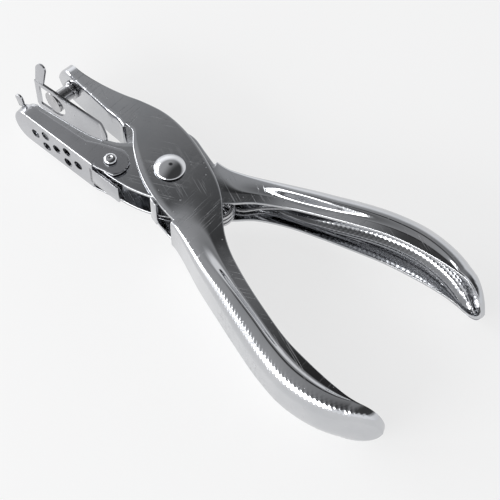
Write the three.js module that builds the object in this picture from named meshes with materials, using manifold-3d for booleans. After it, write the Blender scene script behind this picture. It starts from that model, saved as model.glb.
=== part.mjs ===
// Single-hole hand punch, lying on its side: two crossed sheet steel channels on one rivet,
// a punch in the upper jaw, a stripper over the die, and a swinging chip tray.
// Millimetres. +Z is the pivot axis, +X runs along the die face to the handles,
// +Y points from the lower jaw to the upper one. The origin is on the pivot axis, on the table.

import * as THREE from "three";
import { mergeVertices } from "three/addons/utils/BufferGeometryUtils.js";
import Module from "manifold-3d";

const wasm = await Module();
wasm.setup();

// Sheet and clearances
const ARM_SHEET = 0.9;
const TRAY_SHEET = 0.6;
const STRIPPER_SHEET = 0.6;
const FIT = 0.3;

// Widths of the nested parts, from the outer channel inwards
const UPPER_WIDTH = 10.6;
const HANDLE_WIDTH = 14.6;
const UPPER_HALF = UPPER_WIDTH / 2;
const HANDLE_HALF = HANDLE_WIDTH / 2;
const LOWER_HALF = UPPER_HALF - ARM_SHEET - FIT;
const LOWER_INNER = LOWER_HALF - ARM_SHEET;
const TRAY_HALF = LOWER_HALF + FIT + TRAY_SHEET;
const MID = HANDLE_HALF;

// Lengths from the pivot axis
const HANDLE_REACH = 80;
const PUNCH_REACH = 37.6;

// Rivets
const PIVOT_SHANK = 5;
const PIVOT_HEAD = 7.8;
const PIVOT_DOME = 1.9;
const TRAY_RIVET = { x: -13.4, y: -6.3 };
const TRAY_SHANK = 2;
const TRAY_HEAD = 3.3;
const TRAY_DIMPLE = 1.1;

// Jaws and punch
const DIE_LEVEL = -2.5;
const JAW_OPEN = THREE.MathUtils.degToRad(12);
const JAW_CLOSE = THREE.MathUtils.degToRad(8.2);
const JAW_FOOT = new THREE.Vector2(-17.3, 3.9);
const PUNCH_DIAMETER = 6;
const PUNCH_NECK = 4;
const PUNCH_TENON = 3;
const PUNCH_LENGTH = 6.4;
const CUTTING_LAND = 1.5;
const DIE_PLAY = 0.35;

// Stripper and tray
const STRIPPER_HALF = 5;
const STRIPPER_TILT = THREE.MathUtils.degToRad(3.4);
const STRIPPER_TOP = 2.45;
const STRIPPER_LEAD = 5.78;
const STRIPPER_REAR = -23.4;
const STRIPPER_NECK = -18.9;
const RAIL = 1.4;
const LUG_RADIUS = 2.4;
const GUIDE_EAR = { width: 3, length: 5.6, root: 0.4, lean: -14, inset: 1.6 };
const TRAY_SLOPE = -0.105;
const TRAY_BOTTOM = -7.78;
const VENT_DIAMETER = 2.6;
const VENT_PITCH = 3.7;
const VENT_ROW = 2.1;
const VENT_FROM_DIE = 2.52;
const TRAY_FLOOR_END = -16.4;
const TRAY_HEEL = { x: 2.9, y: -3.25 };
const TRAY_LOBE = { x: 0.4, radius: 4.3, from: -0.28 * Math.PI };
const TRAY_LIP = -4.1;
const TONGUE_END = -7.7;
const THUMB_EAR = { width: 2.2, length: 3.8, lean: -0.9, inset: 0.9, y: -4.7, z: 2.9 };

// Spring
const WIRE = 1.1;
const COIL_RADIUS = 3.5;
const COIL_TURNS = 3.25;
const COIL_CENTRE = new THREE.Vector2(14.6, -0.2);
const UPPER_LEG_ROWS = [14, 13, 12];
const LOWER_LEG_ROWS = [14, 15];
const UPPER_LEG_BEND = [[14.2, -10.6], [11.6, -5.4]];
const LOWER_LEG_BEND = [[18.4, 4.3], [22.6, 8.1]];
const STEPS_A_TURN = 12;
const WIRE_STEPS = 90;

// Channel section: free-edge flare, tight corner at the jaws and full corner on the handles
const EDGE_FLARE = { lag: 16, reach: 26, narrower: 0.5 };
const CORNER_TIGHT = 1;
const CORNER_FULL = 4.4;
const CORNER_LAG = 10;
const CREASE = { at: 0.35, limit: 0.6, rise: 0.62 };
const LEAST_RADIUS = 0.3;
const ROUNDEST = 0.92;
const BLUNT_END = 0.004;
const PAST_EDGE = 2;
const CORNER_STEPS = 4;
const END_ANGLES = [8, 22, 38, 54, 72];

// Jaw wall heights at the nose and behind it, and the stop tab that limits the opening
const JAW_WALL_NOSE = 3.6;
const JAW_WALL_REAR = 3;
const STOP_TAB = [[1.5, -8.9], [3.9, -9.9], [3.6, -10.8], [1.2, -9.8]];
const STOP_TAB_REACH = 3.4;
const STOP_TAB_BITE = 0.1;

// Cutters pass this far beyond the sheet they cut
const OVER = 1;
const FAR = 20;
const CROSS_CUT = 4;

const ROUND = 28;
const SMALL_ROUND = 18;

const v2 = (x, y) => new THREE.Vector2(x, y);
const along = (curve, u) => curve.getPoint(u);
const mix = THREE.MathUtils.lerp;
const ramp = THREE.MathUtils.smoothstep;

// A closed three.js geometry as a solid that can be cut and joined.
function solid(geometry) {
  geometry.deleteAttribute("normal");
  geometry.deleteAttribute("uv");
  const merged = mergeVertices(geometry, 1e-4);
  const vertProperties = new Float32Array(merged.attributes.position.array);
  const triVerts = new Uint32Array(merged.index.array);
  return new wasm.Manifold(new wasm.Mesh({ numProp: 3, vertProperties, triVerts }));
}

function geometryOf(body) {
  const mesh = body.getMesh();
  const geometry = new THREE.BufferGeometry();
  geometry.setAttribute("position", new THREE.BufferAttribute(mesh.vertProperties, mesh.numProp));
  geometry.setIndex(new THREE.BufferAttribute(mesh.triVerts, 1));
  geometry.computeVertexNormals();
  return geometry;
}

// A flat outline in the XY plane, thickened from z0 to z1.
function slab(points, z0, z1, curveSegments = 12) {
  const shape = points instanceof THREE.Shape ? points : new THREE.Shape(points);
  const geometry = new THREE.ExtrudeGeometry(shape, { depth: z1 - z0, bevelEnabled: false, curveSegments });
  return solid(geometry.translate(0, 0, z0));
}

// An outline in the XZ plane, thickened from y0 to y1.
function wallSlab(points, y0, y1, curveSegments = 12) {
  const shape = points instanceof THREE.Shape ? points : new THREE.Shape(points);
  const geometry = new THREE.ExtrudeGeometry(shape, { depth: y1 - y0, bevelEnabled: false, curveSegments });
  return solid(geometry.rotateX(Math.PI / 2).translate(0, y1, 0));
}

// A round bar along Z.
function bar(x, y, diameter, z0, z1, sides = ROUND) {
  const geometry = new THREE.CylinderGeometry(diameter / 2, diameter / 2, z1 - z0, sides);
  return solid(geometry.rotateX(Math.PI / 2).translate(x, y, (z0 + z1) / 2));
}

// A round bar along the local Y axis, turned by an angle about Z at a point on the sheet.
function barAcross(x, y, diameter, length, angle, sides = ROUND) {
  const geometry = new THREE.CylinderGeometry(diameter / 2, diameter / 2, length, sides);
  return solid(geometry.rotateZ(angle).translate(x, y, MID));
}

// A closed skin over a row of rings that all have the same number of points.
function loft(rings) {
  const count = rings[0].length;
  const positions = [];
  const index = [];
  rings.flat().forEach((p) => positions.push(p.x, p.y, p.z));
  for (let r = 0; r + 1 < rings.length; r++) {
    for (let i = 0; i < count; i++) {
      const a = r * count + i;
      const b = r * count + (i + 1) % count;
      index.push(a, b, a + count, b, b + count, a + count);
    }
  }
  const cap = (start, flip) => {
    const middle = positions.length / 3;
    const centre = new THREE.Vector3();
    for (let i = 0; i < count; i++) centre.add(rings[start][i]);
    centre.divideScalar(count);
    positions.push(centre.x, centre.y, centre.z);
    for (let i = 0; i < count; i++) {
      const a = start * count + i;
      const b = start * count + (i + 1) % count;
      if (flip) index.push(middle, b, a);
      else index.push(middle, a, b);
    }
  };
  cap(0, true);
  cap(rings.length - 1, false);
  const geometry = new THREE.BufferGeometry();
  geometry.setAttribute("position", new THREE.Float32BufferAttribute(positions, 3));
  geometry.setIndex(index);
  return solid(geometry);
}

// One U section of a channel: from the near free edge round the web to the far free edge.
// inset moves the whole section inwards by the sheet, and carries it past the free edge.
function channelRing(section, inset, turn) {
  const { edge, web, edgeHalf, webHalf, corner } = section;
  const reach = web.clone().sub(edge);
  const depth = reach.length();
  reach.divideScalar(depth);
  const widest = Math.min(webHalf - inset, depth - inset) * ROUNDEST;
  const radius = Math.min(Math.max(corner - inset, LEAST_RADIUS), widest);
  const shoulder = depth - inset - radius;
  const edgeZ = edgeHalf - inset;
  const webZ = webHalf - inset;
  const creaseAt = Math.min(depth * CREASE.at, shoulder * CREASE.limit);
  const side = [
    [inset > 0 ? -PAST_EDGE : 0, edgeZ],
    [creaseAt, edgeZ],
    [mix(creaseAt, shoulder, 0.5), mix(edgeZ, webZ, CREASE.rise)],
  ];
  for (let i = 0; i <= CORNER_STEPS; i++) {
    const angle = (i / CORNER_STEPS) * Math.PI / 2;
    side.push([shoulder + radius * Math.sin(angle), webZ - radius * (1 - Math.cos(angle))]);
  }
  const near = side.map(([d, z]) => new THREE.Vector3(edge.x + reach.x * d, edge.y + reach.y * d, MID + z));
  const far = side.map(([d, z]) => new THREE.Vector3(edge.x + reach.x * d, edge.y + reach.y * d, MID - z));
  const ring = [...near, ...far.reverse()];
  return turn > 0 ? ring : ring.reverse();
}

// An arm: its free edge and its web follow two curves whose points are given in pairs.
// The nose is a half circle seen on the web, and the handle ends in a rounded tip.
function channelArm(arm) {
  const edge = new THREE.SplineCurve(arm.rows.map((row) => v2(...row.edge)));
  const web = new THREE.SplineCurve(arm.rows.map((row) => v2(...row.web)));
  const last = arm.rows.length - 1;
  const noseRow = along(web, 1 / last).distanceTo(along(web, 0));
  const tipRow = along(web, 1 - 1 / last).distanceTo(along(web, 1));
  const section = (u, inset) => {
    const edgePoint = along(edge, u);
    const webPoint = along(web, u);
    const flare = ramp(webPoint.x, arm.flareFrom, arm.flareTo);
    const fromNose = webPoint.distanceTo(along(web, 0));
    const fromTip = webPoint.distanceTo(along(web, 1));
    const nose = Math.max(0, 1 - fromNose / arm.half);
    const tip = Math.max(0, 1 - fromTip / arm.tipLength);
    const innerNose = Math.max(0, 1 - (fromNose - inset) / (arm.half - inset));
    const innerTip = Math.max(0, 1 - (fromTip - inset) / (arm.tipLength - inset));
    const narrow = inset > 0 ? Math.max(innerNose, innerTip) : Math.max(nose, tip);
    const share = Math.sqrt(Math.max(1 - narrow * narrow, BLUNT_END));
    const fullWeb = mix(arm.half, HANDLE_HALF, flare);
    const edgeFlare = ramp(webPoint.x, arm.flareTo - EDGE_FLARE.lag, arm.flareTo + EDGE_FLARE.reach);
    const fullEdge = mix(arm.half, HANDLE_HALF - EDGE_FLARE.narrower, edgeFlare);
    return {
      edge: edgePoint,
      web: webPoint,
      webHalf: (fullWeb - inset) * share + inset,
      edgeHalf: (Math.min(fullEdge, fullWeb) - inset) * share + inset,
      corner: mix(CORNER_TIGHT, CORNER_FULL, ramp(webPoint.x, arm.flareFrom, arm.flareTo + CORNER_LAG)),
    };
  };
  const skin = (inset) => {
    const stations = [];
    const noseShare = inset / noseRow;
    const tipShare = inset / tipRow;
    END_ANGLES.forEach((angle) => {
      const share = 1 - Math.cos(THREE.MathUtils.degToRad(angle));
      stations.push((noseShare + share * (arm.half - inset) / noseRow) / last);
    });
    for (let i = 2; i <= 2 * (last - 1); i++) stations.push(i / 2 / last);
    END_ANGLES.slice().reverse().forEach((angle) => {
      const share = 1 - Math.cos(THREE.MathUtils.degToRad(angle));
      const reach = tipShare + share * (arm.tipLength - inset) / tipRow;
      stations.push(1 - reach / last);
    });
    return loft(stations.map((u) => channelRing(section(u, inset), inset, arm.turn)));
  };
  return skin(0).subtract(skin(ARM_SHEET));
}

// A cut through the whole width behind an outline, which leaves the two plates without a web.
function webGap(outline) {
  return slab(outline, -OVER, HANDLE_WIDTH + OVER);
}

// The hole for the tray's rivets, through everything on their axis.
function trayRivetHole() {
  const { x, y } = TRAY_RIVET;
  return bar(x, y, TRAY_SHANK + 2 * FIT, -OVER, HANDLE_WIDTH + OVER, SMALL_ROUND);
}

// The upper jaw's web, as a line from its rear end to the nose.
const jawDirection = v2(-Math.cos(JAW_OPEN), Math.sin(JAW_OPEN));
const jawNormal = v2(Math.sin(JAW_OPEN), Math.cos(JAW_OPEN));
const onJaw = (x, height = 0) => {
  const distance = (JAW_FOOT.x - x) / Math.cos(JAW_OPEN);
  return [
    JAW_FOOT.x + jawDirection.x * distance + jawNormal.x * height,
    JAW_FOOT.y + jawDirection.y * distance + jawNormal.y * height,
  ];
};

const NOSE_X = -PUNCH_REACH - UPPER_HALF;

// Where the punch crosses the die face when the jaws are closed: the die hole's centre.
const closedFoot = v2(...onJaw(-PUNCH_REACH)).rotateAround(v2(0, 0), JAW_CLOSE);
const DIE_X = closedFoot.x - (closedFoot.y - DIE_LEVEL) * Math.tan(JAW_OPEN - JAW_CLOSE);
const STRIPPER_FRONT = DIE_X - STRIPPER_LEAD;

// The upper arm, from the nose to the handle's tip: paired points of its free edge and its web.
const UPPER_ROWS = [
  { edge: onJaw(NOSE_X, JAW_WALL_NOSE), web: onJaw(NOSE_X) },
  { edge: onJaw(NOSE_X + UPPER_HALF, JAW_WALL_REAR), web: onJaw(NOSE_X + UPPER_HALF) },
  { edge: [-30, 10.9], web: onJaw(-30.6) },
  { edge: [-23.5, 11.5], web: onJaw(-24.4) },
  { edge: [-17.8, 12.5], web: onJaw(-18.8) },
  { edge: [-11.6, 12.9], web: [-13.4, 0.6] },
  { edge: [-5.6, 11.9], web: [-9.6, -4.0] },
  { edge: [0.2, 9.9], web: [-4.4, -8.1] },
  { edge: [6, 7.0], web: [1.2, -10.9] },
  { edge: [11.2, 3.9], web: [5.6, -12.2] },
  { edge: [15.2, 0.4], web: [9.8, -12.7] },
  { edge: [18.7, -3.9], web: [13.4, -14.2] },
  { edge: [22, -7.6], web: [17.4, -16.4] },
  { edge: [26.6, -11.3], web: [23, -19.5] },
  { edge: [33.4, -15.3], web: [30.4, -23.1] },
  { edge: [41.4, -19.3], web: [38.6, -27.1] },
  { edge: [50, -23.1], web: [47, -30.8] },
  { edge: [58, -25.4], web: [55.6, -33.4] },
  { edge: [66, -27.0], web: [64, -33.8] },
  { edge: [72.6, -27.6], web: [71.6, -32.1] },
  { edge: [HANDLE_REACH - 0.4, -26.3], web: [HANDLE_REACH, -27.8] },
];

function upperArm() {
  const arm = { rows: UPPER_ROWS, half: UPPER_HALF, turn: 1, flareFrom: 5, flareTo: 34, tipLength: 8.2 };
  const gap = new THREE.Shape();
  gap.moveTo(JAW_FOOT.x, -FAR);
  gap.lineTo(JAW_FOOT.x, JAW_FOOT.y + 0.4);
  gap.quadraticCurveTo(JAW_FOOT.x + 1.2, JAW_FOOT.y + 1.1, -14.6, 3.9);
  gap.splineThru([v2(-13.1, 2.2), v2(-11.6, 0.3), v2(-8.2, -2.9), v2(-4.5, -5.7), v2(-1.1, -7.7),
    v2(2.6, -9.4), v2(6.5, -10.7), v2(9.4, -11.5)]);
  gap.lineTo(9.4, -FAR);
  let body = channelArm(arm).subtract(webGap(gap));
  const tabPoints = STOP_TAB.map((p) => v2(...p));
  const stopTab = slab(tabPoints, MID - STOP_TAB_REACH, MID + UPPER_HALF - STOP_TAB_BITE);
  body = body.add(stopTab);
  body = body.subtract(bar(0, 0, PIVOT_SHANK + 2 * FIT, -OVER, HANDLE_WIDTH + OVER));
  const [px, py] = onJaw(-PUNCH_REACH);
  return body.subtract(barAcross(px, py, PUNCH_TENON + 2 * FIT, CROSS_CUT, -JAW_OPEN));
}

// The lower arm, in the same way.
const LOWER_NOSE = DIE_X - LOWER_HALF;
const LOWER_ROWS = [
  { edge: [LOWER_NOSE, -5.9], web: [LOWER_NOSE, DIE_LEVEL] },
  { edge: [DIE_X, -6.5], web: [DIE_X, DIE_LEVEL] },
  { edge: [-31.5, -7.2], web: [-31.5, DIE_LEVEL] },
  { edge: [-26, -7.8], web: [-26, DIE_LEVEL] },
  { edge: [-21, -8.4], web: [-22, -2.25] },
  { edge: [-16, -9.1], web: [-18, -1.1] },
  { edge: [-10.6, -9.8], web: [-14.6, 1.6] },
  { edge: [-4.8, -9.7], web: [-10.6, 6.6] },
  { edge: [0.6, -8.7], web: [-5.6, 11.9] },
  { edge: [5.4, -6.9], web: [0.6, 12.0] },
  { edge: [10.4, -3.9], web: [6, 9.7] },
  { edge: [14.8, -1.1], web: [10.4, 9.1] },
  { edge: [18, 1.2], web: [14.4, 9.7] },
  { edge: [22.6, 4.6], web: [19.8, 11.1] },
  { edge: [30, 7.7], web: [28.4, 13.9] },
  { edge: [38, 10.0], web: [36.4, 16.9] },
  { edge: [46, 12.0], web: [44.4, 19.7] },
  { edge: [54, 13.7], web: [52.6, 21.6] },
  { edge: [62, 14.4], web: [61, 22.2] },
  { edge: [69.4, 14.4], web: [69.6, 20.7] },
  { edge: [75.4, 13.7], web: [76.6, 17.4] },
  { edge: [HANDLE_REACH + 1.9, 11.2], web: [HANDLE_REACH + 2.5, 11.9] },
];

function lowerArm() {
  const arm = { rows: LOWER_ROWS, half: LOWER_HALF, turn: -1, flareFrom: 6, flareTo: 34, tipLength: 8.6 };
  const gap = new THREE.Shape();
  gap.moveTo(-17.6, FAR);
  gap.lineTo(-17.6, -1.2);
  gap.splineThru([v2(-16, -0.6), v2(-13.6, 0.9), v2(-11.2, 3.6), v2(-8.6, 8.4), v2(-5, 11.4),
    v2(-1.2, 11.6), v2(3.2, 9.8), v2(7.4, 8.0)]);
  gap.lineTo(7.4, FAR);
  const between = [v2(-19.4, -3.2), v2(7.2, -3.2), v2(7.2, FAR), v2(-19.4, FAR)];
  let body = channelArm(arm).subtract(webGap(gap));
  body = body.subtract(slab(between, MID - LOWER_INNER, MID + LOWER_INNER));
  body = body.subtract(bar(0, 0, PIVOT_SHANK + 2 * FIT, -OVER, HANDLE_WIDTH + OVER));
  body = body.subtract(trayRivetHole());
  return body.subtract(barAcross(DIE_X, DIE_LEVEL, PUNCH_DIAMETER + 2 * DIE_PLAY, CROSS_CUT, 0));
}

const spin = (profile, sides) => new THREE.LatheGeometry(profile.map(([r, h]) => v2(r, h)), sides);

// A low dome as profile points from the rim up to the axis.
function dome(radius, height, base) {
  const steps = 6;
  const points = [];
  for (let i = 0; i <= steps; i++) {
    const angle = (i / steps) * Math.PI / 2;
    points.push([i === steps ? 0 : radius * Math.cos(angle), base + height * Math.sin(angle)]);
  }
  return points;
}

// The main rivet: flat formed head on the table, domed head on top.
function pivotRivet() {
  const headRadius = PIVOT_HEAD / 2;
  const shank = PIVOT_SHANK / 2;
  const under = MID - UPPER_HALF - FIT;
  const over = MID + UPPER_HALF + FIT;
  const profile = [
    [0, 0], [headRadius - 0.4, 0], [headRadius, 0.4], [headRadius, under],
    [shank, under], [shank, over], [headRadius, over], [headRadius, over + 0.3],
    ...dome(headRadius, PIVOT_DOME - 0.3, over + 0.3).slice(1),
  ];
  return spin(profile, ROUND).rotateX(Math.PI / 2);
}

// The bush that keeps the plates apart under the rivet's pull.
function pivotSpacer() {
  const length = 2 * (LOWER_INNER - FIT);
  const outer = PIVOT_SHANK / 2 + 1.3;
  const inner = PIVOT_SHANK / 2 + FIT;
  const z = MID - length / 2;
  const profile = [[inner, z], [outer, z], [outer, z + length], [inner, z + length], [inner, z]];
  return spin(profile, ROUND).rotateX(Math.PI / 2);
}

// A place for the spring's leg: at a row of an arm, clear of the web's inner side.
function insideWeb(row, z) {
  const web = v2(...row.web);
  const inwards = v2(...row.edge).sub(web).normalize();
  web.addScaledVector(inwards, ARM_SHEET + FIT + WIRE / 2);
  return new THREE.Vector3(web.x, web.y, z);
}

// Coil in the crotch, with one leg along each handle's web.
function torsionSpring() {
  const height = 2 * (LOWER_INNER - FIT) - WIRE;
  const top = MID + height / 2;
  const low = top - height;
  const steps = Math.round(COIL_TURNS * STEPS_A_TURN);
  const { x, y } = COIL_CENTRE;
  const points = UPPER_LEG_ROWS.map((row) => insideWeb(UPPER_ROWS[row], top));
  points.push(...UPPER_LEG_BEND.map(([px, py]) => new THREE.Vector3(px, py, top)));
  for (let i = 0; i <= steps; i++) {
    const angle = Math.PI - (i / STEPS_A_TURN) * 2 * Math.PI;
    const z = top - (i / steps) * height;
    points.push(new THREE.Vector3(x + COIL_RADIUS * Math.cos(angle), y + COIL_RADIUS * Math.sin(angle), z));
  }
  points.push(...LOWER_LEG_BEND.map(([px, py]) => new THREE.Vector3(px, py, low)));
  points.push(...LOWER_LEG_ROWS.map((row) => insideWeb(LOWER_ROWS[row], low)));
  const path = new THREE.CatmullRomCurve3(points);
  const wire = new THREE.Shape().absarc(0, 0, WIRE / 2, 0, 2 * Math.PI);
  const sweep = { steps: WIRE_STEPS, bevelEnabled: false, extrudePath: path, curveSegments: 4 };
  return new THREE.ExtrudeGeometry(wire, sweep);
}

// Built with its axis on Y: the tenon points up through the jaw, the cutting end points down.
function punchPin() {
  const cut = PUNCH_DIAMETER / 2;
  const neck = PUNCH_NECK / 2;
  const tenon = PUNCH_TENON / 2;
  const land = -PUNCH_LENGTH + CUTTING_LAND;
  const inside = ARM_SHEET + FIT;
  const profile = [
    [0, -PUNCH_LENGTH], [cut, -PUNCH_LENGTH], [cut, land], [neck, land + 0.5], [neck, -1.1],
    [neck + 0.5, -0.9], [neck + 0.5, -FIT], [tenon, -FIT], [tenon, inside],
    [tenon + 0.9, inside], [tenon + 0.7, inside + 0.6], [0, inside + 0.9],
  ];
  return spin(profile, ROUND);
}

// A round-ended tab in the XZ plane, from one point to another.
function tab(x0, z0, x1, z1, width, sheet) {
  const length = Math.hypot(x1 - x0, z1 - z0);
  const radius = width / 2;
  const shape = new THREE.Shape();
  shape.moveTo(0, -radius);
  shape.lineTo(length - radius, -radius);
  shape.absarc(length - radius, 0, radius, -Math.PI / 2, Math.PI / 2, false);
  shape.lineTo(0, radius);
  const angle = -THREE.MathUtils.radToDeg(Math.atan2(z1 - z0, x1 - x0));
  return wallSlab(shape, -sheet / 2, sheet / 2, 8).rotate([0, angle, 0]).translate([x0, 0, z0]);
}

// Window plate over the die, necked down between the lower arm's plates to two lugs on the rivets.
function stripper() {
  const onTop = (x) => v2(x, STRIPPER_TOP + (DIE_X - x) * Math.tan(STRIPPER_TILT));
  const front = onTop(STRIPPER_FRONT);
  const top = [front, onTop(STRIPPER_REAR), v2(-20.6, 0.5), v2(STRIPPER_NECK, -0.6)];
  const strip = (points, half) => {
    const under = points.map((p) => v2(p.x, p.y - STRIPPER_SHEET)).reverse();
    return slab([...under, ...points], MID - half, MID + half);
  };
  const neckHalf = LOWER_INNER - FIT;
  let body = strip(top, STRIPPER_HALF);
  const neck = [v2(-20.4, 0.37), v2(STRIPPER_NECK, -0.6), v2(-16, -2.0), v2(-12.6, -3.9)];
  const neckUnder = neck.map((p) => v2(p.x, p.y - STRIPPER_SHEET * 1.15)).reverse();
  body = body.add(slab([...neckUnder, ...neck], MID - neckHalf, MID + neckHalf));
  const lug = new THREE.Shape();
  lug.moveTo(-15.8, -2.6);
  lug.lineTo(TRAY_RIVET.x - LUG_RADIUS, TRAY_RIVET.y);
  lug.absarc(TRAY_RIVET.x, TRAY_RIVET.y, LUG_RADIUS, Math.PI, 2 * Math.PI, false);
  lug.lineTo(-12.6, -4.2);
  for (const side of [-1, 1]) {
    const z = side > 0 ? MID + neckHalf - STRIPPER_SHEET : MID - neckHalf;
    body = body.add(slab(lug, z, z + STRIPPER_SHEET, 8));
  }
  const windowHalf = STRIPPER_HALF - RAIL;
  const opening = new THREE.Shape();
  opening.moveTo(STRIPPER_FRONT + RAIL, -windowHalf);
  opening.lineTo(DIE_X + 0.6, -windowHalf);
  opening.absarc(DIE_X + 0.6, 0, windowHalf, -Math.PI / 2, Math.PI / 2, false);
  opening.lineTo(STRIPPER_FRONT + RAIL, windowHalf);
  body = body.subtract(wallSlab(opening, 0, 6, 10).translate([0, 0, MID]));
  body = body.subtract(trayRivetHole());
  const { width, length, root, lean, inset } = GUIDE_EAR;
  const ear = tab(0, -root, 0, length, width, STRIPPER_SHEET).rotate([lean, 0, 0]);
  body = body.add(ear.translate([STRIPPER_FRONT + inset, front.y - STRIPPER_SHEET / 2, MID + STRIPPER_HALF]));
  return geometryOf(body);
}

// Cover under the lower jaw: flaps outside the plates, and a narrow tongue between them at the back.
function chipTray() {
  const floorAt = (x) => TRAY_BOTTOM + TRAY_SLOPE * (x - DIE_X);
  const noseX = DIE_X - TRAY_HALF;
  const side = new THREE.Shape();
  side.moveTo(noseX - OVER, floorAt(noseX));
  side.lineTo(TRAY_FLOOR_END, floorAt(TRAY_FLOOR_END));
  side.lineTo(TRAY_RIVET.x + TRAY_HEEL.x, TRAY_RIVET.y + TRAY_HEEL.y);
  const lobeX = TRAY_RIVET.x + TRAY_LOBE.x;
  side.absarc(lobeX, TRAY_RIVET.y, TRAY_LOBE.radius, TRAY_LOBE.from, Math.PI / 2, false);
  side.quadraticCurveTo(-18.6, -3.5, -22, -5.1);
  side.lineTo(noseX - OVER, TRAY_LIP);
  const plan = (radius) => {
    const shape = new THREE.Shape();
    shape.moveTo(0, -radius);
    shape.lineTo(0, radius);
    shape.lineTo(DIE_X, radius);
    shape.absarc(DIE_X, 0, radius, Math.PI / 2, 3 * Math.PI / 2, false);
    return wallSlab(shape, -FAR, FAR, 12).translate([0, 0, MID]);
  };
  const outer = slab(side, MID - TRAY_HALF, MID + TRAY_HALF, 10).intersect(plan(TRAY_HALF));
  const front = noseX - FAR;
  const inside = (x) => v2(x, floorAt(x) + TRAY_SHEET);
  const hollow = [inside(front), inside(0), v2(0, FAR), v2(front, FAR)];
  const inner = slab(hollow, -OVER, HANDLE_WIDTH + OVER).intersect(plan(TRAY_HALF - TRAY_SHEET));
  let body = outer.subtract(inner);
  const behind = [v2(TRAY_FLOOR_END, -FAR), v2(0, -FAR), v2(0, FAR), v2(TRAY_FLOOR_END, FAR)];
  body = body.subtract(slab(behind, MID - TRAY_HALF + TRAY_SHEET, MID + TRAY_HALF - TRAY_SHEET));
  const tongueHalf = LOWER_INNER - FIT;
  const root = TRAY_FLOOR_END - OVER;
  const tongueFoot = [v2(root, floorAt(root)), v2(TONGUE_END, floorAt(TONGUE_END))];
  const tongue = [...tongueFoot, inside(TONGUE_END), inside(root)];
  body = body.add(slab(tongue, MID - tongueHalf, MID + tongueHalf));
  const vents = [[0, 0], [1, 1], [1, -1], [2, 0], [3, 1], [3, -1], [4, 0]];
  for (const [step, across] of vents) {
    const x = DIE_X + VENT_FROM_DIE + step * VENT_PITCH;
    const vent = bar(x, 0, VENT_DIAMETER, -FAR, FAR, SMALL_ROUND).rotate([90, 0, 0]);
    const placed = vent.translate([0, 0, MID + across * VENT_ROW]);
    body = body.subtract(placed.trimByPlane([0, -1, 0], -inside(x).y - OVER));
  }
  const ear = tab(0, 0, THUMB_EAR.lean, THUMB_EAR.length, THUMB_EAR.width, TRAY_SHEET);
  body = body.add(ear.translate([noseX + THUMB_EAR.inset, THUMB_EAR.y, MID + THUMB_EAR.z]));
  body = body.subtract(trayRivetHole());
  return geometryOf(body);
}

// Small rivet through flap, plate and lug. Its head has a dimple from the setting tool.
function trayRivet(side) {
  const head = TRAY_HEAD / 2;
  const shank = TRAY_SHANK / 2;
  const dimple = TRAY_DIMPLE / 2;
  const seat = TRAY_HALF + FIT;
  const inside = LOWER_INNER - FIT - STRIPPER_SHEET - FIT;
  const profile = [
    [0, inside - 0.5], [shank + 0.5, inside - 0.5], [shank + 0.5, inside], [shank, inside],
    [shank, seat], [head, seat], [head, seat + 0.35], [head - 0.4, seat + 0.8],
    [dimple, seat + 0.95], [dimple * 0.7, seat + 0.55], [0, seat + 0.5],
  ];
  return spin(profile, SMALL_ROUND).rotateX(side * Math.PI / 2);
}

const CHROME = { color: 0xc9ccd0, roughness: 0.12, metalness: 1 };
const SPRING_STEEL = { color: 0xb9bcc0, roughness: 0.25, metalness: 1 };
const HARD_STEEL = { color: 0x8f9296, roughness: 0.3, metalness: 1 };

const punch = new THREE.Group();

function add(name, geometry, look, x = 0, y = 0, z = 0, turn = 0) {
  const mesh = new THREE.Mesh(geometry, new THREE.MeshStandardMaterial(look));
  mesh.name = name;
  mesh.position.set(x, y, z);
  mesh.rotation.z = turn;
  punch.add(mesh);
}

add("lower_arm", geometryOf(lowerArm()), CHROME);
add("upper_arm", geometryOf(upperArm()), CHROME);
add("pivot_rivet", pivotRivet(), CHROME);
add("pivot_spacer", pivotSpacer(), HARD_STEEL);
add("torsion_spring", torsionSpring(), SPRING_STEEL);
add("punch_pin", punchPin(), HARD_STEEL, ...onJaw(-PUNCH_REACH), MID, -JAW_OPEN);
add("stripper", stripper(), CHROME);
add("chip_tray", chipTray(), CHROME);
add("tray_rivet_near", trayRivet(1), CHROME, TRAY_RIVET.x, TRAY_RIVET.y, MID);
add("tray_rivet_far", trayRivet(-1), CHROME, TRAY_RIVET.x, TRAY_RIVET.y, MID);

export default punch;
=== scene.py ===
"""A chrome hand punch for single holes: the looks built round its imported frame."""

import math

import bmesh
import bpy
import numpy as np
from mathutils import Matrix, Vector


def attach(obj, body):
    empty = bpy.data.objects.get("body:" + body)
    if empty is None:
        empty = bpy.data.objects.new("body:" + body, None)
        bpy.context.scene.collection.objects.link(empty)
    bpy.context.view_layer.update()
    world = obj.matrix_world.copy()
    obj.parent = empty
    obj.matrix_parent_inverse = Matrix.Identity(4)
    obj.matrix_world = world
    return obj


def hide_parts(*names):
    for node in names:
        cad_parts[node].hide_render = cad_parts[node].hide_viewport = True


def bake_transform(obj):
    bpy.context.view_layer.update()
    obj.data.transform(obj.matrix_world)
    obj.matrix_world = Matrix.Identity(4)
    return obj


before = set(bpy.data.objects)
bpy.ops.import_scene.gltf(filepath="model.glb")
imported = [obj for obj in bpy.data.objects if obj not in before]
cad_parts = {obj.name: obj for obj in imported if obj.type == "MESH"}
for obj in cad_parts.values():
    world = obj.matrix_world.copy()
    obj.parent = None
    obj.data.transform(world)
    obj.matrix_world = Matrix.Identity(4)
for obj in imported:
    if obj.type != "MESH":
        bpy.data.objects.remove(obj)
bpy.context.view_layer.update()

MM = 0.001
SCENE = bpy.context.scene

# ---- Sizes of the pieces, in millimetres, as in the frame

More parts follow.
